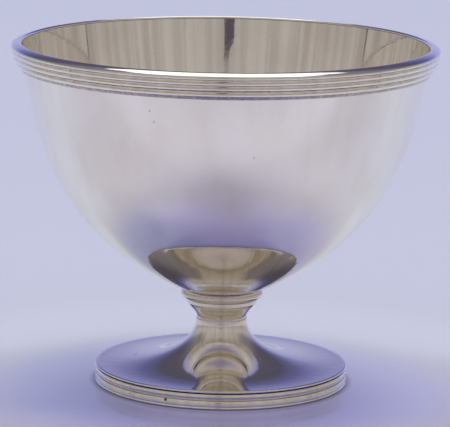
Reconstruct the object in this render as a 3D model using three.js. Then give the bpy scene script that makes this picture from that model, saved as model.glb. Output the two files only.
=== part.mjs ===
// Footed waste bowl of polished silver: a raised bowl with a reeded rim, on a trumpet pedestal with a
// reeded foot. Every piece is a solid of revolution about Z, soldered to its neighbours at flat seats.
// Millimetres, +Z up, with the origin at the centre of the ring that the bowl stands on.
import * as THREE from "three";

// Overall sizes
const OVERALL_HEIGHT = 128.8;
const LIP_DIAMETER = 160;
const FOOT_DIAMETER = 95.4;

// Bowl shell
const BOWL_WALL = 0.9;
const BOWL_LAND = 1.3; // width of the flat ring of contact between the bowl and its seat
const BOTTOM_ROUND = 44.4; // radius of the ball that the bowl's bottom follows
const BOTTOM_REACH = 20.7; // distance from the axis where the bottom runs into the belly
const BOWL_TAPER = THREE.MathUtils.degToRad(8.1); // outward lean of the wall at the rim
const BELLY_LOWER_PULL = 0.49; // handles of the belly's curve, as shares of the bowl's depth
const BELLY_UPPER_PULL = 0.432;

// Rim moulding
const LIP_WIDTH = 4.1;
const LIP_HEIGHT = 4.9;
const LIP_CURL = 1.1; // radius of the lip's inner edge, which runs into the inside of the wall
const RIM_REED_HEIGHT = 2.4;
const RIM_REED_STEP = 1.2; // how far the lower reed stands back from the upper one
const RIM_REED_PROUD = 0.8;
const RIM_REED_COUNT = 2;

// Neck, collar and seat ring
const NECK_RADIUS = 9.4;
const NECK_WALL = 2;
const NECK_RING_HEIGHT = 1.6;
const NECK_RING_PROUD = 0.25;
const COLLAR_HEIGHT = 7.7;
const COLLAR_SPREAD = 3.8; // how far the collar swells out from the neck
const COLLAR_BAND = 1.1; // upright stretch above the swell
const COLLAR_NOTCH = 0.5; // chamfer that sets the collar off from the seat ring
const COVE_PULL = 0.475; // handles of the collar's curve, as shares of its rise
const SWELL_PULL = 0.213;
const SEAT_RING_HEIGHT = 1.8;
const SEAT_RING_OVERHANG = 2.3;
const SEAT_RING_OVOLO_WIDTH = 1.9;
const SEAT_RING_OVOLO_HEIGHT = 1.4;

// Pedestal
const PEDESTAL_WALL = 0.9;
const PEDESTAL_HEIGHT = 16.8; // from the top of the foot band to the neck ring
const PEDESTAL_SHOULDER = 0.25; // how far its top stands out from the neck
const FLARE_PULL = 0.937; // handles of the trumpet's curve, as shares of its run and its rise
const STEM_PULL = 0.112;

// Foot band and bead
const FOOT_LEDGE = 1.0; // width of the band's top under the foot plate
const FOOT_LOW_REED_HEIGHT = 1.1;
const FOOT_MID_REED_HEIGHT = 1.8;
const FOOT_COVE_HEIGHT = 1.3;
const FOOT_TOP_REED_HEIGHT = 1.4;
const FOOT_CHAMFER = 0.4;
const FOOT_REED_PROUD = 0.5;
const FOOT_COVE_DEPTH = 0.25;
const FOOT_BEAD_WIDTH = 1.3;
const FOOT_BEAD_HEIGHT = 1.4;
const FOOT_BEAD_INSET = 0.1; // how far the bead stands back from the band

// Fits and facets
const SOLDER_GAP = 0.12; // radial clearance between pieces that sit one inside the other
const TURN_SEGMENTS = 40;
const WALL_STEPS = 14;
const COLLAR_STEPS = 6;
const ARC_STEP_DEGREES = 30; // the widest turn of a rounded outline between two of its points
const SKIRT_STEPS = 2;

// Radii and heights that follow from those sizes
const LIP_RADIUS = LIP_DIAMETER / 2;
const LIP_CENTRE_Z = OVERALL_HEIGHT - LIP_HEIGHT / 2;
const CURL_CENTRE_RADIUS = LIP_RADIUS - LIP_WIDTH + LIP_CURL;
const CURL_CENTRE_Z = OVERALL_HEIGHT - LIP_CURL;
const LIP_INNER_RADIUS = CURL_CENTRE_RADIUS - LIP_CURL * Math.cos(BOWL_TAPER);
const WALL_TOP_RADIUS = LIP_INNER_RADIUS + BOWL_WALL / Math.cos(BOWL_TAPER);
const WALL_TOP_Z = CURL_CENTRE_Z + LIP_CURL * Math.sin(BOWL_TAPER);
const MOULDING_BOTTOM_Z = OVERALL_HEIGHT - LIP_HEIGHT - RIM_REED_COUNT * RIM_REED_HEIGHT;
const STEM_BORE_RADIUS = NECK_RADIUS - NECK_WALL;
const BOWL_SEAT_RADIUS = STEM_BORE_RADIUS + BOWL_LAND;
const BOTTOM_START_SLOPE = Math.asin(BOWL_SEAT_RADIUS / BOTTOM_ROUND);
const BOTTOM_END_SLOPE = Math.asin(BOTTOM_REACH / BOTTOM_ROUND);
const COLLAR_RADIUS = NECK_RADIUS + COLLAR_SPREAD;
const SEAT_RING_RADIUS = COLLAR_RADIUS + SEAT_RING_OVERHANG;
const PEDESTAL_TOP_RADIUS = NECK_RADIUS + PEDESTAL_SHOULDER;
const FOOT_RADIUS = FOOT_DIAMETER / 2;
const BEAD_OUTER_RADIUS = FOOT_RADIUS - FOOT_BEAD_INSET;
const BEAD_INNER_RADIUS = BEAD_OUTER_RADIUS - FOOT_BEAD_WIDTH;
const PLATE_RADIUS = BEAD_INNER_RADIUS - SOLDER_GAP;
const MID_REED_Z = FOOT_LOW_REED_HEIGHT;
const FOOT_COVE_Z = MID_REED_Z + FOOT_MID_REED_HEIGHT;
const TOP_REED_Z = FOOT_COVE_Z + FOOT_COVE_HEIGHT;
const BAND_TOP_Z = TOP_REED_Z + FOOT_TOP_REED_HEIGHT + FOOT_CHAMFER;
const PLATE_TOP_Z = BAND_TOP_Z + PEDESTAL_WALL;
const PEDESTAL_TOP_Z = BAND_TOP_Z + PEDESTAL_HEIGHT;
const NECK_TOP_Z = PEDESTAL_TOP_Z + NECK_RING_HEIGHT;
const COLLAR_TOP_Z = NECK_TOP_Z + COLLAR_HEIGHT;
const SEAT_Z = COLLAR_TOP_Z + SEAT_RING_HEIGHT;

// A point of an outline: its distance from the axis and its height.
function at(radius, height) {
  return new THREE.Vector2(radius, height);
}

// Points on an elliptical arc, from one angle to another in degrees, counter-clockwise when they rise.
function arc(centre, halfWidth, halfHeight, startDegrees, endDegrees) {
  const steps = Math.ceil(Math.abs(endDegrees - startDegrees) / ARC_STEP_DEGREES);
  const points = [];
  for (let i = 0; i <= steps; i++) {
    const degrees = THREE.MathUtils.lerp(startDegrees, endDegrees, i / steps);
    const angle = THREE.MathUtils.degToRad(degrees);
    points.push(at(centre.x + halfWidth * Math.cos(angle), centre.y + halfHeight * Math.sin(angle)));
  }
  return points;
}

// A half-round reed that rises from `bottom` by `height`; a negative `proud` makes it a cove.
function reed(radius, bottom, height, proud) {
  return arc(at(radius, bottom + height / 2), proud, height / 2, -90, 90);
}

// Points inside a curve's ends, moved by `wall` to the left of its direction.
function innerFace(curve, wall) {
  const points = [];
  for (let i = 1; i < WALL_STEPS; i++) {
    const point = curve.getPoint(i / WALL_STEPS);
    const along = curve.getTangent(i / WALL_STEPS);
    points.push(at(point.x - along.y * wall, point.y + along.x * wall));
  }
  return points;
}

// The place along a rising curve, from 0 to 1, where it reaches a height.
function placeAtHeight(curve, height) {
  let low = 0;
  let high = 1;
  while (high - low > 1e-6) {
    const middle = (low + high) / 2;
    if (curve.getPoint(middle).y < height) low = middle;
    else high = middle;
  }
  return high;
}

// The outside of the bowl's wall: the rounded bottom from its seat, then the belly up to the rim.
function bowlCurve() {
  const depth = WALL_TOP_Z - SEAT_Z;
  const ballZ = SEAT_Z + BOTTOM_ROUND * Math.cos(BOTTOM_START_SLOPE);
  const start = at(BOTTOM_REACH, ballZ - BOTTOM_ROUND * Math.cos(BOTTOM_END_SLOPE));
  const end = at(WALL_TOP_RADIUS, WALL_TOP_Z);
  const outOfBottom = at(Math.cos(BOTTOM_END_SLOPE), Math.sin(BOTTOM_END_SLOPE));
  const intoRim = at(Math.sin(BOWL_TAPER), Math.cos(BOWL_TAPER));
  const lowerHandle = start.clone().addScaledVector(outOfBottom, BELLY_LOWER_PULL * depth);
  const upperHandle = end.clone().addScaledVector(intoRim, -BELLY_UPPER_PULL * depth);
  const downwards = -Math.PI / 2;
  const path = new THREE.Path();
  path.absarc(0, ballZ, BOTTOM_ROUND, downwards + BOTTOM_START_SLOPE, downwards + BOTTOM_END_SLOPE);
  path.bezierCurveTo(lowerHandle.x, lowerHandle.y, upperHandle.x, upperHandle.y, end.x, end.y);
  return path;
}

// The outside of the pedestal, from the edge of the foot plate up to the neck ring.
function pedestalCurve() {
  const run = PLATE_RADIUS - PEDESTAL_TOP_RADIUS;
  const rise = PEDESTAL_TOP_Z - PLATE_TOP_Z;
  return new THREE.CubicBezierCurve(
    at(PLATE_RADIUS, PLATE_TOP_Z),
    at(PLATE_RADIUS - FLARE_PULL * run, PLATE_TOP_Z),
    at(PEDESTAL_TOP_RADIUS, PEDESTAL_TOP_Z - STEM_PULL * rise),
    at(PEDESTAL_TOP_RADIUS, PEDESTAL_TOP_Z),
  );
}

// Raised bowl: flat seat, outside, edge, inside and inner flat.
function bowlShell() {
  const curve = bowlCurve();
  const innerFlatZ = SEAT_Z + BOWL_WALL;
  const innerFlatRadius = BOWL_SEAT_RADIUS - BOWL_WALL * Math.tan(BOTTOM_START_SLOPE / 2);
  return [
    at(0, SEAT_Z),
    ...curve.getSpacedPoints(WALL_STEPS),
    at(LIP_INNER_RADIUS, WALL_TOP_Z),
    ...innerFace(curve, BOWL_WALL).reverse(),
    at(innerFlatRadius, innerFlatZ),
    at(0, innerFlatZ),
  ];
}

// Drawn moulding: reeds under a rounded lip, with a rebate that takes the edge of the bowl's wall.
function rimMoulding() {
  const curve = bowlCurve();
  const lowest = placeAtHeight(curve, MOULDING_BOTTOM_Z);
  const skirt = [];
  for (let i = SKIRT_STEPS; i >= 0; i--) {
    const point = curve.getPoint(THREE.MathUtils.lerp(lowest, 1, i / SKIRT_STEPS));
    skirt.push(at(point.x + SOLDER_GAP, point.y));
  }
  const lipCentre = at(LIP_RADIUS - LIP_WIDTH / 2, LIP_CENTRE_Z);
  const reeds = [];
  for (let i = 0; i < RIM_REED_COUNT; i++) {
    const setBack = (RIM_REED_COUNT - 1 - i) * RIM_REED_STEP;
    const bottom = MOULDING_BOTTOM_Z + i * RIM_REED_HEIGHT;
    reeds.push(...reed(lipCentre.x - setBack, bottom, RIM_REED_HEIGHT, RIM_REED_PROUD));
  }
  const topCentre = at(CURL_CENTRE_RADIUS, LIP_CENTRE_Z);
  const curlCentre = at(CURL_CENTRE_RADIUS, CURL_CENTRE_Z);
  const curlEndDegrees = 180 - THREE.MathUtils.radToDeg(BOWL_TAPER);
  return [
    ...reeds,
    ...arc(lipCentre, LIP_WIDTH / 2, LIP_HEIGHT / 2, -90, 0).slice(1),
    ...arc(topCentre, LIP_WIDTH - LIP_CURL, LIP_HEIGHT / 2, 0, 90).slice(1),
    ...arc(curlCentre, LIP_CURL, LIP_CURL, 90, curlEndDegrees).slice(1),
    ...skirt,
    reeds[0],
  ];
}

// Upper step of the collar: a flat ring that the bowl sits on, with an ovolo under its edge.
function seatRing() {
  const ovoloCentre = at(SEAT_RING_RADIUS - SEAT_RING_OVOLO_WIDTH, COLLAR_TOP_Z + SEAT_RING_OVOLO_HEIGHT);
  return [
    at(STEM_BORE_RADIUS, COLLAR_TOP_Z),
    ...arc(ovoloCentre, SEAT_RING_OVOLO_WIDTH, SEAT_RING_OVOLO_HEIGHT, -90, 0),
    at(SEAT_RING_RADIUS, SEAT_Z),
    at(STEM_BORE_RADIUS, SEAT_Z),
    at(STEM_BORE_RADIUS, COLLAR_TOP_Z),
  ];
}

// Lower step of the collar: hollow above the neck, then swelling to an upright band.
function steppedCollar() {
  const notchZ = COLLAR_TOP_Z - COLLAR_NOTCH;
  const rise = notchZ - COLLAR_BAND - NECK_TOP_Z;
  const side = new THREE.CubicBezierCurve(
    at(NECK_RADIUS, NECK_TOP_Z),
    at(NECK_RADIUS, NECK_TOP_Z + COVE_PULL * rise),
    at(COLLAR_RADIUS, NECK_TOP_Z + (1 - SWELL_PULL) * rise),
    at(COLLAR_RADIUS, NECK_TOP_Z + rise),
  );
  return [
    at(STEM_BORE_RADIUS, NECK_TOP_Z),
    ...side.getPoints(COLLAR_STEPS),
    at(COLLAR_RADIUS, notchZ),
    at(COLLAR_RADIUS - COLLAR_NOTCH, COLLAR_TOP_Z),
    at(STEM_BORE_RADIUS, COLLAR_TOP_Z),
    at(STEM_BORE_RADIUS, NECK_TOP_Z),
  ];
}

// Low rounded ring over the joint between the collar and the pedestal.
function neckRing() {
  return [
    at(STEM_BORE_RADIUS, PEDESTAL_TOP_Z),
    ...reed(NECK_RADIUS, PEDESTAL_TOP_Z, NECK_RING_HEIGHT, NECK_RING_PROUD),
    at(STEM_BORE_RADIUS, NECK_TOP_Z),
    at(STEM_BORE_RADIUS, PEDESTAL_TOP_Z),
  ];
}

// Hollow trumpet and foot plate, open underneath.
function pedestal() {
  const curve = pedestalCurve();
  return [
    at(PLATE_RADIUS, BAND_TOP_Z),
    ...curve.getPoints(WALL_STEPS),
    at(PEDESTAL_TOP_RADIUS - PEDESTAL_WALL, PEDESTAL_TOP_Z),
    ...innerFace(curve, PEDESTAL_WALL).reverse(),
    at(PLATE_RADIUS, BAND_TOP_Z),
  ];
}

// Wire round the edge of the foot plate, with a flat under it.
function footBead() {
  const halfWidth = FOOT_BEAD_WIDTH / 2;
  const halfHeight = FOOT_BEAD_HEIGHT / 2;
  const centre = at(BEAD_INNER_RADIUS + halfWidth, BAND_TOP_Z + halfHeight);
  return [
    at(BEAD_INNER_RADIUS, BAND_TOP_Z),
    ...arc(centre, halfWidth, halfHeight, -90, 180),
    at(BEAD_INNER_RADIUS, BAND_TOP_Z),
  ];
}

// Upright band: two reeds, a shallow cove and a third reed, with a chamfer under the bead.
function footBand() {
  const innerRadius = PLATE_RADIUS - FOOT_LEDGE;
  const sideRadius = FOOT_RADIUS - FOOT_REED_PROUD;
  return [
    at(innerRadius, 0),
    ...reed(sideRadius, 0, FOOT_LOW_REED_HEIGHT, FOOT_REED_PROUD),
    ...reed(sideRadius, MID_REED_Z, FOOT_MID_REED_HEIGHT, FOOT_REED_PROUD).slice(1),
    ...reed(sideRadius, FOOT_COVE_Z, FOOT_COVE_HEIGHT, -FOOT_COVE_DEPTH).slice(1),
    ...reed(sideRadius, TOP_REED_Z, FOOT_TOP_REED_HEIGHT, FOOT_REED_PROUD).slice(1),
    at(sideRadius - FOOT_CHAMFER, BAND_TOP_Z),
    at(innerRadius, BAND_TOP_Z),
    at(innerRadius, 0),
  ];
}

// One turned piece in its own finish.
function turned(name, outline, colour, roughness) {
  const geometry = new THREE.LatheGeometry(outline, TURN_SEGMENTS).rotateX(Math.PI / 2);
  const material = new THREE.MeshStandardMaterial({ color: colour, roughness, metalness: 1 });
  const mesh = new THREE.Mesh(geometry, material);
  mesh.name = name;
  return mesh;
}

const bowl = new THREE.Group();
bowl.add(
  turned("rim_moulding", rimMoulding(), 0xd8d3c8, 0.12),
  turned("bowl_shell", bowlShell(), 0xcfccca, 0.16),
  turned("seat_ring", seatRing(), 0xcbc4b6, 0.14),
  turned("stepped_collar", steppedCollar(), 0xc8c0b0, 0.14),
  turned("neck_ring", neckRing(), 0xcac4ba, 0.14),
  turned("pedestal", pedestal(), 0xc4bfb6, 0.15),
  turned("foot_bead", footBead(), 0xd6d0c2, 0.12),
  turned("foot_band", footBand(), 0xcdc6b4, 0.15),
);

export default bowl;
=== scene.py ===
"""Footed waste bowl of polished silver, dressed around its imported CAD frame.

Every piece is turned about Z: a half section is drawn with arcs and curves, spun into a closed mesh, and
finished as worn, hand-polished silver. Metres, +Z up, in the frame's own axes.
"""
import logging
import math
from collections.abc import Sequence
from dataclasses import dataclass, field
from enum import Enum

import bmesh
import bpy
from mathutils import Matrix, Vector, noise


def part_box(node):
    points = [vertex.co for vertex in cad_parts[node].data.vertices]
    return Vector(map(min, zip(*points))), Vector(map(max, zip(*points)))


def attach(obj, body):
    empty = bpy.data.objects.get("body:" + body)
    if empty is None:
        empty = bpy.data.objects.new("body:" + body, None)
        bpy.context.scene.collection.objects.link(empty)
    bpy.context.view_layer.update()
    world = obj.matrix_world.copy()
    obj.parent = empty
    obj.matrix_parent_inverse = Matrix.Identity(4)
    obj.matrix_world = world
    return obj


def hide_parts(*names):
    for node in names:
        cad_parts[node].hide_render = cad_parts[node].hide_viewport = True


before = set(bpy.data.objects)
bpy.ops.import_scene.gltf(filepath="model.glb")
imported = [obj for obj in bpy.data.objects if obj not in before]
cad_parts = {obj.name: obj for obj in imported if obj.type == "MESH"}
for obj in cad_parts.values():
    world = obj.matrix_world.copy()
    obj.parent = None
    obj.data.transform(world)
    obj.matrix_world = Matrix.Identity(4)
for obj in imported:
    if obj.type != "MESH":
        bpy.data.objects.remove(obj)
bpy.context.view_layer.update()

LOG = logging.getLogger("waste_bowl")
BODY = "root"
# the recess attribute also carries painted shade under the rim moulding and where the seat ring meets the
# bowl
RECESS = "recess"  # name of the vertex attribute that is 1 in a groove and 0 on open metal
HAIR = 1e-6  # keeps a smooth piece inside its CAD node's box and off its neighbour
DOWN, OUT, UP, INWARD = -90.0, 0.0, 90.0, 180.0  # directions in a half section, in degrees
SCREEN_WHITE = 255
SCREEN_OFFSET = 0.055
SCREEN_POWER = 2.4

Place = tuple[float, float]  # radius and height
Span = tuple[float, float]  # first and last value of a range
Spot = tuple[float, float, float]
Colour = tuple[float, float, float]
Stops = tuple[tuple[float, Colour], ...]
Curve = Sequence[Sequence[float]]  # start, two handles and end, each with its radius and height
Socket = bpy.types.NodeSocket
Value = Socket | float


def shade(red: int, green: int, blue: int) -> Colour:
    """Linear colour of an 8-bit screen colour."""
    parts = (value / SCREEN_WHITE for value in (red, green, blue))
    return tuple(((part + SCREEN_OFFSET) / (1 + SCREEN_OFFSET)) ** SCREEN_POWER for part in parts)


class Slot(Enum):
    """Material slots of the record."""

    BOWL = "bowl_silver"
    MOULDING = "moulding_silver"
    COLLAR = "collar_silver"
    PEDESTAL = "pedestal_silver"


@dataclass(frozen=True)
class Extent:
    """Radius and heights that a CAD node takes up."""

    radius: float
    low: float
    high: float

    @classmethod
    def of(cls, node: str) -> "Extent":
        """Reads a node's extent from the frame, less a hair so that the piece stays inside the node's box."""
        low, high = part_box(node)
        return cls(high.x - HAIR, low.z + HAIR, high.z - HAIR)

    @property
    def height(self) -> float:
        """Height from bottom to top."""
        return self.high - self.low

    @property
    def middle(self) -> float:
        """Height halfway between bottom and top."""
        return (self.low + self.high) / 2


class Outline:
    """Half section of a turned piece, drawn from point to point as (radius, height)."""

    ARC_STEP = math.radians(7.5)
    CURVE_STEPS = 72
    SPIN_STEPS = 256
    CREASE = math.radians(32)
    GROOVE = math.radians(45)
    MERGE = 1e-7

    def __init__(self) -> None:
        """Starts an empty outline."""
        self.points: list[tuple[float, float, float]] = []

    def to(self, radius: float, height: float, recess: float = 0.0) -> "Outline":
        """Adds one point, with a recess of 1 where it lies in a groove that holds tarnish."""
        self.points.append((radius, height, recess))
        return self

    def arc(self, centre: Place, half: Place, start: float, end: float, recess: Span = (0.0, 0.0),
            step: float = ARC_STEP, fade: float = GROOVE) -> "Outline":
        """Adds an elliptical arc.

        Args:
            centre: Middle of the ellipse.
            half: Half of its width and half of its height.
            start: First angle in degrees, from the outward direction towards the top.
            end: Last angle in degrees.
            recess: Groove values of the first and last point.
            step: Widest turn between two points.
            fade: Turn over which the groove values fade out along the arc.

        Returns:
            The outline itself.
        """
        first, last = math.radians(start), math.radians(end)
        steps = max(2, math.ceil(abs(last - first) / step))
        for index in range(steps + 1):
            angle = first + (last - first) * index / steps
            near = max(0.0, 1 - abs(angle - first) / fade)
            far = max(0.0, 1 - abs(last - angle) / fade)
            depth = max(recess[0] * near, recess[1] * far)
            self.to(centre[0] + half[0] * math.cos(angle), centre[1] + half[1] * math.sin(angle), depth)
        return self

    def reed(self, radius: float, low: float, height: float, proud: float, sag: float,
             recess: float = 1.0) -> "Outline":
        """Adds a convex reed, from the groove under it to the groove above it.

        Args:
            radius: Radius of its widest place.
            low: Height of the lower groove.
            height: Height between the grooves.
            proud: How far it stands out of the grooves.
            sag: How high its widest place lies, as a share of its height.
            recess: Groove value of both ends.

        Returns:
            The outline itself.
        """
        middle = (radius - proud, low + sag * height)
        self.arc(middle, (proud, sag * height), DOWN, OUT, (recess, 0))
        return self.arc(middle, (proud, (1 - sag) * height), OUT, UP, (0, recess))

    def curve(self, handles: Curve, wall: float = 0.0, back: bool = False,
              ceiling: float = math.inf) -> "Outline":
        """Adds a cubic curve, or the face that lies a wall's thickness to its left.

        Args:
            handles: Start, two handles and end.
            wall: Distance to the left of the curve's direction.
            back: Draws it from its end to its start.
            ceiling: Height above which points are left out.

        Returns:
            The outline itself.
        """
        start, first, second, end = (Vector(handle) for handle in handles)
        for index in range(self.CURVE_STEPS + 1):
            share = index / self.CURVE_STEPS
            far = 1 - share if back else share
            near = 1 - far
            point = near**3 * start + 3 * near**2 * far * first + 3 * near * far**2 * second + far**3 * end
            along = near**2 * (first - start) + 2 * near * far * (second - first) + far**2 * (end - second)
            along.normalize()
            if point.y + along.x * wall <= ceiling:
                self.to(point.x - along.y * wall, point.y + along.x * wall)
        return self

    def spun(self) -> bmesh.types.BMesh:
        """Spins the outline about Z.

        Returns:
            A closed mesh whose faces point outwards.
        """
        mesh = bmesh.new()
        recess = mesh.verts.layers.float.new(RECESS)
        verts = []
        for radius, height, depth in self.points:
            vert = mesh.verts.new((radius, 0, height))
            vert[recess] = depth
            verts.append(vert)
        for near, far in zip(verts, verts[1:]):
            mesh.edges.new((near, far))
        if self.points[0][0] > 0:
            mesh.edges.new((verts[-1], verts[0]))
        bmesh.ops.remove_doubles(mesh, verts=mesh.verts[:], dist=self.MERGE)
        bmesh.ops.spin(
            mesh, geom=mesh.verts[:] + mesh.edges[:], axis=(0, 0, 1), cent=(0, 0, 0), steps=self.SPIN_STEPS,
            angle=math.tau, use_merge=True)
        bmesh.ops.remove_doubles(mesh, verts=mesh.verts[:], dist=self.MERGE)
        bmesh.ops.recalc_face_normals(mesh, faces=mesh.faces[:])
        return mesh


@dataclass(frozen=True)
class Grain:
    """Noise that a finish or a wall is drawn with: its finer layers, its scale, and its stretch by axis."""

    detail: float
    scale: float = 1.0
    stretch: Spot | None = None


@dataclass(frozen=True)
class Relief:
    """Bump of a mark: its strength, and its height, which is negative for a hollow."""

    strength: float
    height: float


class Nodes:
    """Short way to write a node tree."""

    MIX_COLOURS = (6, 7)  # inputs of a Mix node that take its two colours
    MIX_RESULT = 2  # output of a Mix node that gives a colour

    def __init__(self, tree: bpy.types.NodeTree) -> None:
        """Empties the tree of a material or the world, to start from."""
        self.tree = tree
        tree.nodes.clear()

    def feed(self, socket: Socket, value: object) -> None:
        """Links another node's output to an input, or sets a constant on it.

        Args:
            socket: The input.
            value: The output or the constant.
        """
        if isinstance(value, Socket):
            self.tree.links.new(value, socket)
        else:
            socket.default_value = value

    def add(self, kind: str, values: dict[str | int, object] | None = None,
            **settings: object) -> bpy.types.Node:
        """Adds a node.

        Args:
            kind: The node's type, without ShaderNode in front.
            values: Inputs by name or number, each with a constant or another node's output.
            settings: Properties of the node.

        Returns:
            The new node.
        """
        node = self.tree.nodes.new("ShaderNode" + kind)
        for key, value in settings.items():
            setattr(node, key, value)
        for key, value in (values or {}).items():
            self.feed(node.inputs[key], value)
        return node

    def math(self, operation: str, first: Value, *others: Value) -> Socket:
        """Works through values from the first to the last with Math nodes.

        Args:
            operation: Operation of each node.
            first: Constant or socket.
            others: Constants or sockets that follow it, none where the operation takes one value.

        Returns:
            The result.
        """
        if not others:
            return self.add("Math", {0: first}, operation=operation).outputs["Value"]
        for other in others:
            first = self.add("Math", {0: first, 1: other}, operation=operation).outputs["Value"]
        return first

    def remap(self, value: Socket, span: Span, start: float = 0.0, end: float = 1.0) -> Socket:
        """Steps smoothly from start to end while a value crosses a span."""
        values = {"Value": value, "From Min": span[0], "From Max": span[1], "To Min": start, "To Max": end}
        return self.add("MapRange", values, interpolation_type="SMOOTHSTEP").outputs["Result"]

    def mix(self, share: Value, first: Socket | Colour, second: Socket | Colour,
            blend: str = "MIX") -> Socket:
        """Mixes two colours.

        Args:
            share: Share of the second colour.
            first: Colour at a share of 0.
            second: Colour at a share of 1.
            blend: How the second colour goes over the first.

        Returns:
            The mixed colour.
        """
        node = self.add("Mix", {"Factor": share}, data_type="RGBA", blend_type=blend)
        for index, colour in zip(self.MIX_COLOURS, (first, second)):
            self.feed(node.inputs[index], colour if isinstance(colour, Socket) else (*colour, 1))
        return node.outputs[self.MIX_RESULT]

    def ramp(self, share: Socket, stops: Stops) -> Socket:
        """Runs through a row of colours.

        Args:
            share: Place along the row, from 0 to 1.
            stops: Place and colour of each stop, in order.

        Returns:
            The colour at that place.
        """
        node = self.add("ValToRGB", {"Fac": share})
        elements = node.color_ramp.elements
        for element, (position, colour) in zip(elements, (stops[0], stops[-1])):
            element.position = position
            element.color = (*colour, 1)
        for position, colour in stops[1:-1]:
            elements.new(position).color = (*colour, 1)
        return node.outputs["Color"]

    def grain(self, place: Socket, kind: Grain) -> Socket:
        """Draws a noise.

        Args:
            place: Coordinates to draw it on.
            kind: The noise.

        Returns:
            Its value, mostly near one half.
        """
        if kind.stretch:
            place = self.add("Mapping", {"Vector": place, "Scale": kind.stretch}).outputs["Vector"]
        values = {"Vector": place, "Scale": kind.scale, "Detail": kind.detail}
        return self.add("TexNoise", values).outputs["Fac"]

    def grain_along(self, value: Socket, kind: Grain) -> Socket:
        """Draws a noise along a single value."""
        values = {"W": value, "Scale": kind.scale, "Detail": kind.detail}
        return self.add("TexNoise", values, noise_dimensions="1D").outputs["Fac"]

    def bump(self, mark: Socket, relief: Relief, normal: Socket | None = None) -> Socket:
        """Raises or sinks a mark.

        Args:
            mark: Where the mark is.
            relief: How far it stands out.
            normal: Normal that is already bent by other marks.

        Returns:
            The bent normal.
        """
        values = {"Height": mark, "Strength": relief.strength, "Distance": relief.height}
        if normal is not None:
            values["Normal"] = normal
        return self.add("Bump", values).outputs["Normal"]

    def distance(self, place: Socket, spot: Spot) -> Socket:
        """Distance of a place from a fixed spot."""
        return self.add("VectorMath", {0: place, 1: spot}, operation="DISTANCE").outputs["Value"]

    def turn(self, axes: bpy.types.Node) -> Socket:
        """Angle about Z of separated coordinates, in radians, 0 on the camera's side."""
        return self.math("ARCTAN2", axes.outputs["X"], self.math("MULTIPLY", axes.outputs["Y"], -1.0))


@dataclass(frozen=True)
class Marks:
    """Sockets that tell what lies where on a piece of silver."""

    place: Socket
    cloud: Socket
    groove: Socket
    pits: Socket
    strokes: Socket
    hairlines: Socket


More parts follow.
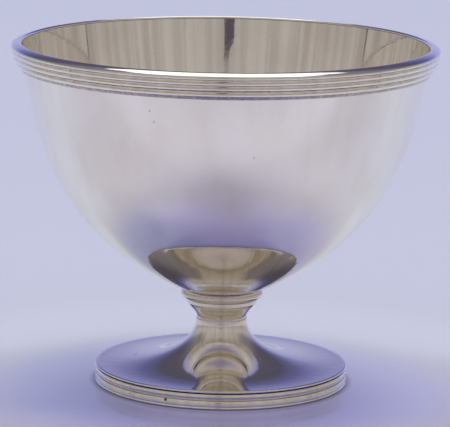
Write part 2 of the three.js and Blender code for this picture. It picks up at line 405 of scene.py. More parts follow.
@dataclass(frozen=True)
class Silver:
    """Polished silver with the film, streaks, strokes, hairlines, pits and groove tarnish of an old piece."""

    slot: Slot
    bright: Colour = (0.93, 0.915, 0.885)
    film: Colour = (0.89, 0.865, 0.815)
    dull: Colour = (0.80, 0.765, 0.705)
    dull_heights: Span = (0.046, 0.078)
    # tarnish colour: real tarnish in grooves and pits, and painted shade where the recess marks the rim's
    # underside and the seat ring's joint
    tarnish: Colour = (0.16, 0.125, 0.09)
    gloss: float = 0.03
    haze: float = 0.04
    cloud: Grain = Grain(detail=4.0, scale=38.0)
    cloud_film: Span = (0.42, 0.68)
    cloud_haze: Span = (0.35, 0.75)
    groove_recess: Span = (0.35, 1.0)
    groove_haze: float = 0.3
    speck: Grain = Grain(detail=3.0, scale=900.0)
    speck_span: Span = (0.25, 0.6)
    speck_least: float = 0.55
    mottle: Grain = Grain(detail=5.0, stretch=(95.0, 95.0, 22.0))
    mottle_span: Span = (0.45, 0.7)
    mottle_share: float = 0.35
    streak: Grain = Grain(detail=2.0, stretch=(260.0, 260.0, 6.0))
    streak_relief: Relief = Relief(0.02, 0.001)
    stroke: Grain = Grain(detail=3.0, scale=16.0)
    stroke_relief: Relief | None = None
    stroke_span: Span = (0.5, 0.68)
    stroke_dirt: Colour = (0.74, 0.70, 0.63)
    stroke_heights: Span = (0.011, 0.016)
    scratch: Grain = Grain(detail=1.0, stretch=(25.0, 25.0, 3200.0))
    scratch_turns: tuple[float, ...] = (0.4, 2.5, 4.6)
    scratch_tilt: float = math.radians(50)
    scratch_span: Span = (0.66, 0.72)
    scratch_haze: float = 0.03
    scratch_relief: Relief = Relief(0.02, -0.0002)
    pit_scale: float = 55.0
    pit_reach: Span = (0.014, 0.03)
    pit_rarity: float = 0.72
    pit_relief: Relief = Relief(0.5, -0.0004)
    nicks: tuple[Spot, ...] = ()
    nick_reach: Span = (0.00025, 0.0006)
    nick_depth: float = 1.0

    def material(self) -> bpy.types.Material:
        """Builds the finish as a node material.

        Returns:
            The new material.
        """
        made = bpy.data.materials.new(self.slot.value)
        made.use_nodes = True
        nodes = Nodes(made.node_tree)
        marks = self.marks(nodes)
        values = {
            "Base Color": self.colour(nodes, marks), "Metallic": 1.0,
            "Roughness": self.roughness(nodes, marks), "Normal": self.relief(nodes, marks)}
        shader = nodes.add("BsdfPrincipled", values)
        nodes.add("OutputMaterial", {"Surface": shader.outputs["BSDF"]})
        return made

    def marks(self, nodes: Nodes) -> Marks:
        """Draws the marks of age and polishing.

        Args:
            nodes: Tree to build in.

        Returns:
            All the marks.
        """
        place = nodes.add("TexCoord").outputs["Object"]
        cloud = nodes.grain(place, self.cloud)
        recess = nodes.add("Attribute", attribute_name=RECESS).outputs["Fac"]
        held = nodes.remap(nodes.grain(place, self.speck), self.speck_span, self.speck_least, 1.0)
        groove = nodes.math("MULTIPLY", nodes.remap(recess, self.groove_recess), held)
        pits = self.pits(nodes, place)
        return Marks(place, cloud, groove, pits, self.strokes(nodes, place), self.hairlines(nodes, place))

    def pits(self, nodes: Nodes, place: Socket) -> Socket:
        """Scatters small pits and puts the larger nicks in their places.

        Args:
            nodes: Tree to build in.
            place: Object coordinates.

        Returns:
            Mask that is 1 in a pit and 0 elsewhere.
        """
        cells = nodes.add("TexVoronoi", {"Vector": place, "Scale": self.pit_scale})
        chance = nodes.add("SeparateColor", {"Color": cells.outputs["Color"]}).outputs["Red"]
        near = nodes.remap(cells.outputs["Distance"], self.pit_reach, 1.0, 0.0)
        found = nodes.math("MULTIPLY", near, nodes.math("GREATER_THAN", chance, self.pit_rarity))
        for nick in self.nicks:
            hollow = nodes.remap(nodes.distance(place, nick), self.nick_reach, self.nick_depth, 0.0)
            found = nodes.math("MAXIMUM", found, hollow)
        return found

    def strokes(self, nodes: Nodes, place: Socket) -> Socket:
        """Draws upright polishing strokes round the axis.

        Args:
            nodes: Tree to build in.
            place: Object coordinates.

        Returns:
            Noise of the strokes, which is 0 outside their heights.
        """
        axes = nodes.add("SeparateXYZ", {"Vector": place})
        grain = nodes.grain_along(nodes.turn(axes), self.stroke)
        return nodes.math("MULTIPLY", grain, nodes.remap(axes.outputs["Z"], self.stroke_heights))

    def hairlines(self, nodes: Nodes, place: Socket) -> Socket:
        """Draws the crossing hairlines that polishing leaves.

        Args:
            nodes: Tree to build in.
            place: Object coordinates.

        Returns:
            Mask that is 1 on a line and 0 elsewhere.
        """
        lines = []
        for turn in self.scratch_turns:
            leant = {"Vector": place, "Rotation": (self.scratch_tilt, 0.0, turn)}
            turned = nodes.add("VectorRotate", leant, rotation_type="EULER_XYZ", invert=True)
            grain = nodes.grain(turned.outputs["Vector"], self.scratch)
            lines.append(nodes.remap(grain, self.scratch_span))
        return nodes.math("MAXIMUM", *lines)

    def colour(self, nodes: Nodes, marks: Marks) -> Socket:
        """Tints the metal by its film, mottling, strokes and tarnish; the groove tarnish is real tarnish and
        also painted shade under the rim and at the seat ring's joint.

        Args:
            nodes: Tree to build in.
            marks: Marks of the piece.

        Returns:
            The colour.
        """
        height = nodes.add("SeparateXYZ", {"Vector": marks.place}).outputs["Z"]
        film = nodes.mix(nodes.remap(marks.cloud, self.cloud_film), self.bright, self.film)
        film = nodes.mix(nodes.remap(height, self.dull_heights, 1.0, 0.0), film, self.dull)
        mottle = nodes.remap(nodes.grain(marks.place, self.mottle), self.mottle_span, 0.0, self.mottle_share)
        film = nodes.mix(mottle, film, self.dull)
        if self.stroke_relief:
            film = nodes.mix(nodes.remap(marks.strokes, self.stroke_span), film, self.stroke_dirt)
        # groove tarnish, partly painted shade under the rim and at the seat ring's joint
        grimy = nodes.mix(marks.groove, film, self.tarnish)
        return nodes.mix(marks.pits, grimy, self.tarnish)

    def roughness(self, nodes: Nodes, marks: Marks) -> Socket:
        """Dulls the polish where the metal is hazy, grimy or scratched.

        Args:
            nodes: Tree to build in.
            marks: Marks of the piece.

        Returns:
            The roughness.
        """
        smear = nodes.remap(marks.cloud, self.cloud_haze, self.gloss, self.gloss + self.haze)
        grimy = nodes.math("MULTIPLY", marks.groove, self.groove_haze)
        scratched = nodes.math("MULTIPLY", marks.hairlines, self.scratch_haze)
        return nodes.math("ADD", smear, grimy, scratched)

    def relief(self, nodes: Nodes, marks: Marks) -> Socket:
        """Bends the normal at the draw streaks, strokes, pits and hairlines.

        Args:
            nodes: Tree to build in.
            marks: Marks of the piece.

        Returns:
            The bent normal.
        """
        normal = nodes.bump(nodes.grain(marks.place, self.streak), self.streak_relief)
        if self.stroke_relief:
            normal = nodes.bump(marks.strokes, self.stroke_relief, normal)
        normal = nodes.bump(marks.pits, self.pit_relief, normal)
        return nodes.bump(marks.hairlines, self.scratch_relief, normal)


BARE = (-0.02, -0.01)  # heights under the foot, for a finish that isn't dulled by height

FINISHES = (
    Silver(
        Slot.BOWL, stroke_relief=Relief(1.0, 0.00006), stroke_heights=(0.070, 0.052), nick_depth=0.25,
        nicks=((-0.0264, -0.0697, 0.1139), (-0.0249, -0.0694, 0.1099), (-0.0332, -0.0338, 0.0571),
               (0.0106, -0.0700, 0.0977))),
    Silver(
        Slot.MOULDING, dull_heights=BARE, nicks=((-0.0200, -0.0431, 0.0026),), nick_reach=(0.0004, 0.0008)),
    Silver(
        Slot.COLLAR, bright=(0.79, 0.75, 0.67), film=(0.75, 0.705, 0.615), dull_heights=BARE,
        stroke_relief=Relief(1.0, 0.00002)),
    Silver(
        Slot.PEDESTAL, dull=(0.84, 0.80, 0.715), dull_heights=(0.013, 0.019),
        stroke_relief=Relief(1.0, 0.00006), nick_reach=(0.0004, 0.0009),
        nicks=((-0.0327, 0.0049, 0.0077), (-0.0446, 0.0067, 0.0069))),
)


class Workshop:
    """Turns outlines into finished pieces that ride on the frame."""

    def __init__(self) -> None:
        """Prepares the finishes."""
        self.finishes: dict[Slot, bpy.types.Material] = {made.slot: made.material() for made in FINISHES}

    def finish(self, mesh: bmesh.types.BMesh, node: str, slot: Slot) -> bpy.types.Object:
        """Makes a spun mesh an object that stands for a CAD node.

        Args:
            mesh: The closed mesh, which is freed.
            node: CAD node that the piece replaces.
            slot: Material slot that gives the finish.

        Returns:
            The finished piece.
        """
        for face in mesh.faces:
            face.smooth = True
        data = bpy.data.meshes.new(node + "_silver")
        mesh.to_mesh(data)
        mesh.free()
        data.set_sharp_from_angle(angle=Outline.CREASE)
        data.materials.append(self.finishes[slot])
        piece = bpy.data.objects.new(node + "_silver", data)
        bpy.context.scene.collection.objects.link(piece)
        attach(piece, BODY)
        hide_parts(node)
        LOG.info("%s: %d faces, %s", piece.name, len(data.polygons), slot.value)
        return piece


@dataclass
class Bowl:
    """Raised bowl and the drawn moulding round its rim."""

    wall: float = 0.0009
    seat_radius: float = 0.0087
    bottom_round: float = 0.0444
    bottom_reach: float = 0.0207
    bottom_step: float = math.radians(1.2)
    taper: float = math.radians(8.1)
    lower_pull: float = 0.49
    upper_pull: float = 0.432
    waver: float = 0.00003
    waver_length: float = 0.035
    waver_onset: float = 3.0
    lip_width: float = 0.0041
    lip_curl: float = 0.0009
    lip_drop: float = 0.0018
    lip_edge: float = 0.0005
    lip_shoulder: Place = (0.0014, 0.0009)
    lip_tilt: float = math.radians(12.5)
    thread_height: float = 0.0019
    thread_proud: float = 0.00035
    thread_set_backs: tuple[float, ...] = (0.0006, 0.0002)
    reed_height: float = 0.0024
    reed_proud: float = 0.0006
    reed_set_back: float = 0.0019
    reed_sag: float = 0.3
    reed_dirt: float = 0.8
    skirt: float = 0.0010
    # groove value of the skirt under the rim: tarnish and painted shade under the moulding
    skirt_tarnish_and_shade: float = 0.7
    solder_gap: float = 0.00005
    shell: Extent = field(default_factory=lambda: Extent.of("bowl_shell"))
    rim: Extent = field(default_factory=lambda: Extent.of("rim_moulding"))

    @property
    def ball(self) -> Place:
        """Centre of the ball that the rounded bottom follows."""
        return 0.0, self.shell.low + math.sqrt(self.bottom_round**2 - self.seat_radius**2)

    @property
    def crest(self) -> float:
        """Radius of the highest line of the lip."""
        return self.rim.radius - self.lip_width + self.lip_curl

    def slope_at(self, radius: float) -> float:
        """Angle of the rounded bottom's outside at a radius, in degrees on the ball."""
        return DOWN + math.degrees(math.asin(radius / self.bottom_round))

    def underside(self, radius: float) -> float:
        """Height of the rounded bottom's outside at a radius."""
        return self.ball[1] - math.sqrt(self.bottom_round**2 - radius**2)

    def belly(self) -> Curve:
        """Draws the outside of the wall, from the rounded bottom to the edge under the lip.

        Returns:
            The curve.
        """
        slope = math.asin(self.bottom_reach / self.bottom_round)
        start = Vector((self.bottom_reach, self.underside(self.bottom_reach)))
        end = Vector((self.shell.radius, self.shell.high))
        out = Vector((math.cos(slope), math.sin(slope)))
        rise = Vector((math.sin(self.taper), math.cos(self.taper)))
        depth = self.shell.height
        return start, start + out * self.lower_pull * depth, end - rise * self.upper_pull * depth, end

    def build_shell(self, shop: Workshop) -> None:
        """Spins the bowl.

        Args:
            shop: Workshop that finishes it.
        """
        curve = self.belly()
        seat, reach = self.slope_at(self.seat_radius), self.slope_at(self.bottom_reach)
        inside = self.bottom_round - self.wall
        outline = Outline().to(0, self.shell.low)
        outline.arc(self.ball, (self.bottom_round, self.bottom_round), seat, reach, step=self.bottom_step)
        outline.curve(curve).to(self.shell.radius - self.wall / math.cos(self.taper), self.shell.high)
        outline.curve(curve, self.wall, back=True, ceiling=self.shell.high)
        outline.arc(self.ball, (inside, inside), reach, seat, step=self.bottom_step)
        outline.to(0, self.shell.low + self.wall)
        mesh = outline.spun()
        self.raise_by_hand(mesh)
        shop.finish(mesh, "bowl_shell", Slot.BOWL)

    def raise_by_hand(self, mesh: bmesh.types.BMesh) -> None:
        """Gives the wall the slight waver of hand raising, which dies out towards its top and bottom.

        Args:
            mesh: The spun bowl.
        """
        for vert in mesh.verts:
            outward = Vector((vert.co.x, vert.co.y, 0))
            if outward.length > self.seat_radius:
                inset = max(0.0, 1 - abs(vert.co.z - self.shell.middle) / (self.shell.height / 2))
                share = min(1.0, self.waver_onset * inset)
                drift = noise.noise(vert.co / self.waver_length) * self.waver * share
                vert.co += outward.normalized() * drift

    def lip(self) -> Curve:
        """Draws the outside of the lip, from its upright edge over the sloping top to its inner curl.

        Returns:
            The curve.
        """
        edge, foot = self.rim.radius, self.rim.high - self.lip_drop
        end = (self.crest + self.lip_curl * math.sin(self.lip_tilt),
               self.rim.high - self.lip_curl * (1 - math.cos(self.lip_tilt)))
        shoulder = edge - self.lip_shoulder[0]
        shoulder_height = end[1] - (shoulder - end[0]) * math.tan(self.lip_tilt)
        return (edge, foot), (edge, foot + self.lip_shoulder[1]), (shoulder, shoulder_height), end

    def build_rim(self, shop: Workshop) -> None:
        """Spins the rim, over the edge of the wall: a sloping lip, with two fine threads and a reed under it.

        Args:
            shop: Workshop that finishes it.
        """
        edge = self.rim.radius
        seam = self.shell.radius + self.solder_gap
        skirt = seam - (self.shell.high - self.rim.low) * math.tan(self.taper)
        threads = len(self.thread_set_backs) * self.thread_height
        low = self.rim.high - self.lip_drop - self.lip_edge - threads - self.reed_height
        # the skirt's groove value paints shade under the rim
        outline = Outline().to(skirt, self.rim.low, self.skirt_tarnish_and_shade)
        outline.to(skirt + self.skirt, self.rim.low, self.skirt_tarnish_and_shade)
        outline.reed(
            edge - self.reed_set_back, low, self.reed_height, self.reed_proud, self.reed_sag, self.reed_dirt)
        low += self.reed_height
        for set_back in self.thread_set_backs:
            outline.reed(edge - set_back, low, self.thread_height, self.thread_proud, self.reed_sag)
            low += self.thread_height
        outline.arc(
            (edge - self.lip_edge, low + self.lip_edge), (self.lip_edge, self.lip_edge), DOWN, OUT, (1, 0))
        outline.curve(self.lip())
        start, end = UP - math.degrees(self.lip_tilt), INWARD - math.degrees(self.taper)
        outline.arc((self.crest, self.rim.high - self.lip_curl), (self.lip_curl, self.lip_curl), start, end)
        outline.to(seam, self.shell.high)
        shop.finish(outline.spun(), "rim_moulding", Slot.MOULDING)


@dataclass
class Collar:
    """Seat ring, stepped collar and neck ring between the bowl and its pedestal."""

    bore: float = 0.0074
    crown: float = 0.0011
    crown_turn: float = 45.0
    # width over which the dark line fades where the ring's shoulder meets the bowl: painted shade of the gap,
    # drawn with the tarnish colour
    crown_shade_fade: float = math.radians(10)
    ovolo: Place = (0.0019, 0.0016)
    ovolo_dirt: float = 0.5
    band: float = 0.0011
    notch: float = 0.0005
    notch_dirt: float = 0.7
    cove_pull: float = 0.475
    swell_pull: float = 0.213
    ring_proud: float = 0.00025
    seat: Extent = field(default_factory=lambda: Extent.of("seat_ring"))
    step: Extent = field(default_factory=lambda: Extent.of("stepped_collar"))
    neck: Extent = field(default_factory=lambda: Extent.of("neck_ring"))

    def build_seat(self, shop: Workshop, bowl: Bowl) -> None:
        """Spins the ring that the bowl sits in: an ovolo under its edge, and a rounded shoulder over it.

        Args:
            shop: Workshop that finishes it.
            bowl: The bowl, whose bottom the ring's top follows.
        """
        centre = (self.seat.radius - self.ovolo[0], self.seat.low + self.ovolo[1])
        meet = self.seat.radius - self.crown
        turn = math.radians(self.crown_turn)
        half = (self.crown / (1 - math.cos(turn)), (bowl.underside(meet) - centre[1]) / math.sin(turn))
        shoulder = (self.seat.radius - half[0], centre[1])
        hollow = bowl.bottom_round + HAIR
        start, end = bowl.slope_at(meet), bowl.slope_at(bowl.seat_radius)
        outline = Outline().to(self.bore, self.seat.low)
        outline.arc(centre, self.ovolo, DOWN, OUT, (self.ovolo_dirt, 0))
        # groove value 1 at the shoulder's end paints the gap's shade where the ring meets the bowl
        outline.arc(shoulder, half, OUT, self.crown_turn, (0, 1), fade=self.crown_shade_fade)
        outline.arc(bowl.ball, (hollow, hollow), start, end, step=bowl.bottom_step)
        outline.to(self.bore, self.seat.high)
        shop.finish(outline.spun(), "seat_ring", Slot.COLLAR)

    def swell(self) -> Curve:
        """Draws the outside of the collar, hollow above the neck and then swelling to the upright band.

        Returns:
            The curve.
        """
        low, high = self.step.low, self.step.high - self.notch - self.band
        narrow, wide = self.neck.radius - self.ring_proud, self.step.radius
        rise = high - low
        return ((narrow, low), (narrow, low + self.cove_pull * rise),
                (wide, low + (1 - self.swell_pull) * rise), (wide, high))

    def build_step(self, shop: Workshop) -> None:
        """Spins the collar.

        Args:
            shop: Workshop that finishes it.
        """
        outline = Outline().to(self.bore, self.step.low).curve(self.swell())
        outline.to(self.step.radius, self.step.high - self.notch)
        outline.to(self.step.radius - self.notch, self.step.high, self.notch_dirt)
        outline.to(self.bore, self.step.high)
        shop.finish(outline.spun(), "stepped_collar", Slot.COLLAR)

    def build_neck(self, shop: Workshop) -> None:
        """Spins the low ring over the joint at the neck, which runs straight into the pedestal under it.

        Args:
            shop: Workshop that finishes it.
        """
        half = (self.ring_proud, self.neck.height / 2)
        outline = Outline().to(self.bore, self.neck.low).to(self.neck.radius, self.neck.low)
        outline.arc((self.neck.radius - self.ring_proud, self.neck.middle), half, OUT, UP)
        outline.to(self.bore, self.neck.high)
        shop.finish(outline.spun(), "neck_ring", Slot.COLLAR)


@dataclass
class Pedestal:
    """Hollow trumpet with its foot plate, and the bead and band round the foot."""

    wall: float = 0.0009
    top_radius: float = 0.00965
    flare_pull: float = 0.937
    stem_pull: float = 0.112
    bead_height: float = 0.0009
    bead_edge: float = 0.00025
    bead_edge_step: float = math.radians(30)
    ledge: float = 0.0010
    reed_proud: float = 0.0005
    low_reed: float = 0.0011
    low_sag: float = 0.3
    mid_reed: float = 0.0021
    mid_sag: float = 0.08
    top_reed: float = 0.0013
    top_sag: float = 0.12
    cove: float = 0.0012
    cove_depth: float = 0.00025
    # how far the whole cove is darkened, evenly along it
    cove_darkening: float = 0.6
    chamfer: float = 0.0004
    trumpet: Extent = field(default_factory=lambda: Extent.of("pedestal"))
    bead: Extent = field(default_factory=lambda: Extent.of("foot_bead"))
    band: Extent = field(default_factory=lambda: Extent.of("foot_band"))

    def flare(self) -> Curve:
        """Draws the outside of the pedestal, from the edge of the plate to the neck.

        Returns:
            The curve.
        """
        edge, low = self.trumpet.radius, self.trumpet.low + self.wall
        neck, high = self.top_radius, self.trumpet.high
        return ((edge, low), (edge - self.flare_pull * (edge - neck), low),
                (neck, high - self.stem_pull * (high - low)), (neck, high))

    def build_trumpet(self, shop: Workshop) -> None:
        """Spins the trumpet and plate as one wall, open underneath.

        Args:
            shop: Workshop that finishes it.
        """
        curve = self.flare()
        outline = Outline().curve(curve).curve(curve, self.wall, back=True)
        shop.finish(outline.spun(), "pedestal", Slot.PEDESTAL)

    def build_bead(self, shop: Workshop) -> None:
        """Spins the flat-topped wire round the edge of the plate, with solder flush between them.

        Args:
            shop: Workshop that finishes it.
        """
        inner = self.trumpet.radius + HAIR
        half = ((self.bead.radius - inner) / 2, self.bead_height / 2)
        top = self.bead.low + self.bead_height
        soft = (self.bead_edge, self.bead_edge)
        outline = Outline().to(inner, self.bead.low)
        outline.arc((self.bead.radius - half[0], self.bead.low + half[1]), half, DOWN, OUT, (1, 0))
        outline.arc((self.bead.radius - soft[0], top - soft[1]), soft, OUT, UP, step=self.bead_edge_step)
        outline.to(inner, top)
        shop.finish(outline.spun(), "foot_bead", Slot.MOULDING)

    def build_band(self, shop: Workshop) -> None:
        """Spins the band that the bowl stands on: two reeds, a cove and a third reed under the bead.

        Args:
            shop: Workshop that finishes it.
        """
        side = self.band.radius - self.reed_proud
        inner = self.trumpet.radius - self.ledge
        low = self.band.low
        outline = Outline().to(inner, low)
        for height, sag in ((self.low_reed, self.low_sag), (self.mid_reed, self.mid_sag)):
            outline.reed(self.band.radius, low, height, self.reed_proud, sag)
            low += height
        half = (-self.cove_depth, self.cove / 2)
        # darkens the whole cove evenly
        cove_dark = (self.cove_darkening, self.cove_darkening)
        outline.arc((side, low + self.cove / 2), half, DOWN, UP, cove_dark, fade=math.inf)
        low += self.cove
        outline.reed(self.band.radius, low, self.top_reed, self.reed_proud, self.top_sag)
        outline.to(side - self.chamfer, self.band.high, 1).to(inner, self.band.high)
        shop.finish(outline.spun(), "foot_band", Slot.MOULDING)


@dataclass
class Floor:
    """Wide pale floor that is seen only from above, with a hole under the hollow foot."""

    size: float = 12.0
    foot: Spot = (0.0, 0.0, 0.0)
    hole: float = 0.0472
    roughness: float = 0.11
    front: Colour = (0.58, 0.57, 0.62)
    back: Colour = (0.64, 0.67, 0.735)
    back_depths: Span = (-0.08, 0.1)
    # painted shade: the floor turns darker far in front, in place of the softbox's falloff
    edge: Colour = (0.36, 0.33, 0.31)
    edge_depths: Span = (-0.6, -0.36)
    # painted light: a lighter band of floor in front of the foot, where the softbox's light falls
    glow: Colour = (0.635, 0.625, 0.68)
    glow_rise: Span = (-0.32, -0.2)
    glow_fall: Span = (-0.18, -0.125)
    # painted shadow round the foot: bluish, darker on the left side than on the right
    left: Colour = (0.50, 0.53, 0.74)
    right: Colour = (0.61, 0.615, 0.85)
    side_widths: Span = (-0.08, 0.08)
    # painted shadow tint on the floor just ahead of the foot
    shadow_ahead: Colour = (0.72, 0.71, 0.85)
    shadow_ahead_depths: Span = (-0.08, -0.04)
    shade_centre: Spot = (0.0, -0.02, 0.0)
    shade_reach: Span = (0.065, 0.105)
    # painted light: lightens the bowl's soft shadow on the floor behind the foot to either side
    lit_behind: Colour = (0.69, 0.72, 0.80)
    beyond_rise: Span = (0.07, 0.095)
    beyond_fall: Span = (0.11, 0.16)
    beyond_depths: Span = (0.02, 0.06)
    # painted shadow: a darker spot on the floor ahead of the foot, the core of the bowl's shadow
    shadow_core: Colour = (0.42, 0.405, 0.46)
    core_centre: Spot = (0.0, -0.115, 0.0)
    core_reach: Span = (0.01, 0.06)
    core_share: float = 0.45
    # painted contact shadow in a thin ring round the foot's edge
    contact_shadow: Colour = shade(70, 66, 90)
    contact_reach: Span = (0.0475, 0.0505)
    contact_share: float = 0.5

    def lay(self) -> None:
        """Lays the floor as a part of the stage."""
        mesh = bmesh.new()
        bmesh.ops.create_grid(mesh, x_segments=1, y_segments=1, size=self.size / 2)
        data = bpy.data.meshes.new("floor")
        mesh.to_mesh(data)
        mesh.free()
        data.materials.append(self.paper())
        floor = bpy.data.objects.new("floor", data)
        bpy.context.scene.collection.objects.link(floor)

    def paper(self) -> bpy.types.Material:
        """Builds the floor's material, which is clear from below and inside the foot.

        Returns:
            The new material.
        """
        made = bpy.data.materials.new("floor_paper")
        made.use_nodes = True
        nodes = Nodes(made.node_tree)
        place = nodes.add("TexCoord").outputs["Object"]
        from_foot = nodes.distance(place, self.foot)
        colour = self.colour(nodes, place, from_foot)
        top = nodes.add("BsdfPrincipled", {"Base Color": colour, "Roughness": self.roughness})
        clear = nodes.add("BsdfTransparent")
        below = nodes.add("NewGeometry").outputs["Backfacing"]
        unseen = nodes.math("MAXIMUM", below, nodes.math("LESS_THAN", from_foot, self.hole))
        both = nodes.add("MixShader", {0: unseen, 1: top.outputs["BSDF"], 2: clear.outputs["BSDF"]})
        nodes.add("OutputMaterial", {"Surface": both.outputs["Shader"]})
        return made

    def colour(self, nodes: Nodes, place: Socket, from_foot: Socket) -> Socket:
        """Tints the floor by its depth and its distance from the foot, with painted shadows round and ahead
        of the foot, painted light in front of and behind it, and painted shade far in front.

        Args:
            nodes: Tree to build in.
            place: Object coordinates.
            from_foot: Distance from the middle of the foot.

        Returns:
            The colour.
        """
        axes = nodes.add("SeparateXYZ", {"Vector": place})
        across, depth = axes.outputs["X"], axes.outputs["Y"]
        # painted shade far in front
        near = nodes.mix(nodes.remap(depth, self.edge_depths), self.edge, self.front)
        # painted pool of light in front
        glow = nodes.math(
            "MULTIPLY", nodes.remap(depth, self.glow_rise), nodes.remap(depth, self.glow_fall, 1.0, 0.0))
        near = nodes.mix(glow, near, self.glow)
        far = nodes.mix(nodes.remap(depth, self.back_depths), near, self.back)
        # painted shadow round the foot, inside the shade's reach
        side_shadow = nodes.mix(nodes.remap(across, self.side_widths), self.left, self.right)
        around = nodes.mix(nodes.remap(depth, self.shadow_ahead_depths), self.shadow_ahead, side_shadow)
        from_shade = nodes.distance(place, self.shade_centre)
        bare = nodes.mix(nodes.remap(from_shade, self.shade_reach), around, far)
        # painted light behind the foot to either side
        lit_behind = nodes.math(
            "MULTIPLY", nodes.remap(from_foot, self.beyond_rise),
            nodes.remap(from_foot, self.beyond_fall, 1.0, 0.0), nodes.remap(depth, self.beyond_depths))
        bare = nodes.mix(lit_behind, bare, self.lit_behind)
        # painted shadow core ahead of the foot
        from_core = nodes.distance(place, self.core_centre)
        bare = nodes.mix(nodes.remap(from_core, self.core_reach, self.core_share, 0.0), bare, self.shadow_core)
        # painted contact shadow
        dark = nodes.remap(from_foot, self.contact_reach, self.contact_share, 0.0)
        return nodes.mix(dark, bare, self.contact_shadow)


@dataclass
class Tent:
    """World drawn by direction: backdrop, room, softbox overhead, and the dark opening round the camera.

    Turns are angles about Z from the camera's side. A climb is an elevation as a share of a right angle.
    The softbox lies on a level plane one unit up, and its sizes are distances on that plane.
    """

    backdrop: Stops = (
        (0.0, shade(176, 178, 220)), (0.07, shade(174, 176, 218)), (0.14, shade(157, 158, 209)),
        (0.18, shade(126, 128, 185)), (0.23, shade(99, 99, 152)), (0.30, shade(84, 82, 104)),
        (0.42, shade(89, 86, 102)), (0.55, shade(122, 118, 131)), (0.75, shade(143, 140, 146)),
        (1.0, shade(165, 158, 152)))
    backdrop_turns: Span = (math.radians(115), math.radians(153))
    room: Stops = (
        (0.0, shade(163, 156, 150)), (0.10, shade(181, 173, 167)), (0.17, shade(184, 176, 170)),
        (0.26, shade(184, 176, 170)), (0.55, shade(172, 163, 156)), (0.8, shade(182, 174, 165)),
        (1.0, shade(172, 165, 157)))
    aloft: Colour = shade(118, 114, 126)
    aloft_turns: Span = (math.radians(65), math.radians(100))
    aloft_climbs: Span = (0.18, 0.32)
    aloft_share: float = 0.85
    fold: Colour = shade(110, 100, 98)
    fold_grain: Grain = Grain(detail=4.0, scale=9.0)
    fold_span: Span = (0.35, 0.65)
    fold_share: float = 0.3
    seam: Colour = shade(70, 62, 54)
    seam_turn: float = math.radians(89.5)
    seam_reach: Span = (math.radians(0.3), math.radians(0.6))
    seam_climbs: Span = (0.1, 0.12)
    seam_share: float = 0.85
    opening: Colour = shade(86, 79, 88)
    opening_low: float = 0.06
    opening_high: float = 0.205
    opening_taper: Span = (0.119, 0.147)
    opening_halves: Span = (math.radians(2.95), math.radians(1.35))
    opening_offsets: Span = (math.radians(1.85), math.radians(0.25))
    opening_fade: Span = (0.132, 0.176)
    opening_last: float = 0.3
    box_light: Colour = (4.2, 4.2, 3.3)
    box_glare: Colour = (1.3, 1.3, 1.27)
    box_half: Span = (0.4, 0.45)
    box_front: Span = (-0.08, 0.0)
    box_rear: Span = (1.22, 1.36)
    box_taper: float = 0.35
    box_taper_start: float = 0.65
    box_waist: float = 0.07
    box_waist_middle: float = 0.5
    box_waist_reach: Span = (0.1, 0.18)
    least_rise: float = 0.05
    wall_fill: Colour = (1.4, 1.45, 2.55)

    def raise_walls(self) -> None:
        """Puts the tent round the bowl as the scene's world."""
        world = bpy.data.worlds.new("tent")
        bpy.context.scene.world = world
        world.use_nodes = True
        nodes = Nodes(world.node_tree)
        axes = nodes.add("SeparateXYZ", {"Vector": nodes.add("TexCoord").outputs["Generated"]})
        turn = nodes.turn(axes)
        side = nodes.math("ABSOLUTE", turn)
        climb = nodes.math("MULTIPLY", nodes.math("ARCSINE", axes.outputs["Z"]), 2 / math.pi)
        backdrop = nodes.ramp(climb, self.backdrop)
        behind = nodes.remap(side, self.backdrop_turns)
        walls = nodes.mix(behind, self.front_wall(nodes, side, climb), backdrop)
        seen = nodes.mix(self.opening_mask(nodes, turn, climb), walls, self.opening)
        path = nodes.add("LightPath")
        fill = nodes.mix(1.0, seen, self.wall_fill, "MULTIPLY")
        filled = nodes.mix(path.outputs["Is Diffuse Ray"], seen, fill)
        box = nodes.mix(path.outputs["Is Glossy Ray"], self.box_light, self.box_glare)
        lit = nodes.mix(self.box_mask(nodes, axes), filled, box)
        background = nodes.add("Background", {"Color": lit, "Strength": 1.0})
        nodes.add("OutputWorld", {"Surface": background.outputs["Background"]})

    def front_wall(self, nodes: Nodes, side: Socket, climb: Socket) -> Socket:
        """Paints the beige room on the camera's side, with soft upright folds and a seam on each side.

        Args:
            nodes: Tree to build in.
            side: Turn to either side.
            climb: Climb of the direction.

        Returns:
            The wall's colour.
        """
        aloft = nodes.math(
            "MULTIPLY", nodes.remap(side, self.aloft_turns), nodes.remap(climb, self.aloft_climbs),
            self.aloft_share)
        plain = nodes.mix(aloft, nodes.ramp(climb, self.room), self.aloft)
        folds = nodes.remap(nodes.grain_along(side, self.fold_grain), self.fold_span, 0.0, self.fold_share)
        folded = nodes.mix(folds, plain, self.fold)
        off_seam = nodes.math("ABSOLUTE", nodes.math("SUBTRACT", side, self.seam_turn))
        seam = nodes.math(
            "MULTIPLY", nodes.remap(off_seam, self.seam_reach, self.seam_share, 0.0),
            nodes.remap(climb, self.seam_climbs, 1.0, 0.0))
        return nodes.mix(seam, folded, self.seam)

    def opening_mask(self, nodes: Nodes, turn: Socket, climb: Socket) -> Socket:
        """Cuts the dark opening round the camera, wide below and narrow above.

        Args:
            nodes: Tree to build in.
            turn: Turn of the direction.
            climb: Climb of the direction.

        Returns:
            Mask that is 1 inside the opening and fades towards its top.
        """
        taper = nodes.remap(climb, self.opening_taper)
        half = nodes.remap(taper, (0.0, 1.0), *self.opening_halves)
        offset = nodes.remap(taper, (0.0, 1.0), *self.opening_offsets)
        aside = nodes.math("ABSOLUTE", nodes.math("ADD", turn, offset))
        return nodes.math(
            "MULTIPLY", nodes.math("LESS_THAN", aside, half),
            nodes.math("GREATER_THAN", climb, self.opening_low),
            nodes.math("LESS_THAN", climb, self.opening_high),
            nodes.remap(climb, self.opening_fade, 1.0, self.opening_last))

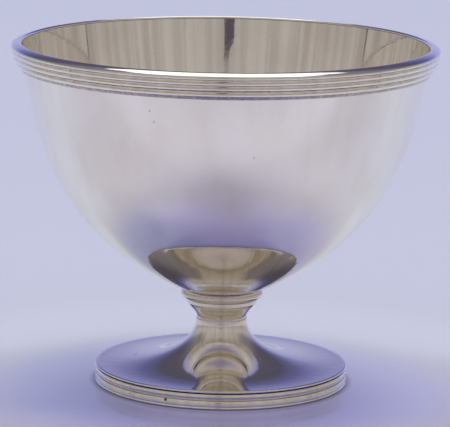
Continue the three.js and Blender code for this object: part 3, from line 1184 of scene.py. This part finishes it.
    def box_mask(self, nodes: Nodes, axes: bpy.types.Node) -> Socket:
        """Hangs the softbox overhead and behind, drawn in at its waist and towards its rear.

        Args:
            nodes: Tree to build in.
            axes: Separated direction.

        Returns:
            Mask that is 1 on its face.
        """
        rise = nodes.math("MAXIMUM", axes.outputs["Z"], self.least_rise)
        across = nodes.math("ABSOLUTE", nodes.math("DIVIDE", axes.outputs["X"], rise))
        away = nodes.math("DIVIDE", axes.outputs["Y"], rise)
        past = nodes.math("MAXIMUM", nodes.math("SUBTRACT", away, self.box_taper_start), 0.0)
        taper = nodes.math("MULTIPLY", past, self.box_taper)
        off_waist = nodes.math("ABSOLUTE", nodes.math("SUBTRACT", away, self.box_waist_middle))
        waist = nodes.remap(off_waist, self.box_waist_reach, self.box_waist, 0.0)
        width = nodes.math("ADD", taper, waist, across)
        return nodes.math(
            "MULTIPLY", nodes.remap(width, self.box_half, 1.0, 0.0), nodes.remap(away, self.box_front),
            nodes.remap(away, self.box_rear, 1.0, 0.0))


@dataclass
class Studio:
    """Floor, tent and the camera at the photograph's angle."""

    aim: Spot = (0.000669, 0.0, 0.063986)
    distance: float = 1.18
    elevation: float = math.radians(10.984)
    roll: float = math.radians(0.959)
    lens: float = 250.85
    clip: Span = (0.05, 100.0)
    mirror_bounces: int = 10

    def place_camera(self) -> None:
        """Sets the camera, with its slight roll."""
        forward = Vector((0, math.cos(self.elevation), -math.sin(self.elevation)))
        right = Vector((1, 0, 0))
        up = right.cross(forward)
        turned_right = math.cos(self.roll) * right + math.sin(self.roll) * up
        turned_up = math.cos(self.roll) * up - math.sin(self.roll) * right
        data = bpy.data.cameras.new("camera")
        data.lens = self.lens
        data.clip_start, data.clip_end = self.clip
        camera = bpy.data.objects.new("camera", data)
        turn = Matrix((turned_right, turned_up, -forward)).transposed().to_4x4()
        camera.matrix_world = Matrix.Translation(Vector(self.aim) - forward * self.distance) @ turn
        bpy.context.scene.collection.objects.link(camera)
        bpy.context.scene.camera = camera

    def build(self) -> None:
        """Sets up the whole studio."""
        self.place_camera()
        Floor().lay()
        Tent().raise_walls()
        bpy.context.scene.cycles.glossy_bounces = self.mirror_bounces
        bpy.context.scene.view_settings.view_transform = "Standard"


def main() -> None:
    """Builds the pieces from the rim down, then the studio."""
    logging.basicConfig(level=logging.INFO, format="%(name)s: %(message)s")
    shop = Workshop()
    bowl = Bowl()
    bowl.build_rim(shop)
    bowl.build_shell(shop)
    collar = Collar()
    collar.build_seat(shop, bowl)
    collar.build_step(shop)
    collar.build_neck(shop)
    pedestal = Pedestal()
    pedestal.build_trumpet(shop)
    pedestal.build_bead(shop)
    pedestal.build_band(shop)
    Studio().build()


if __name__ == "__main__":
    main()
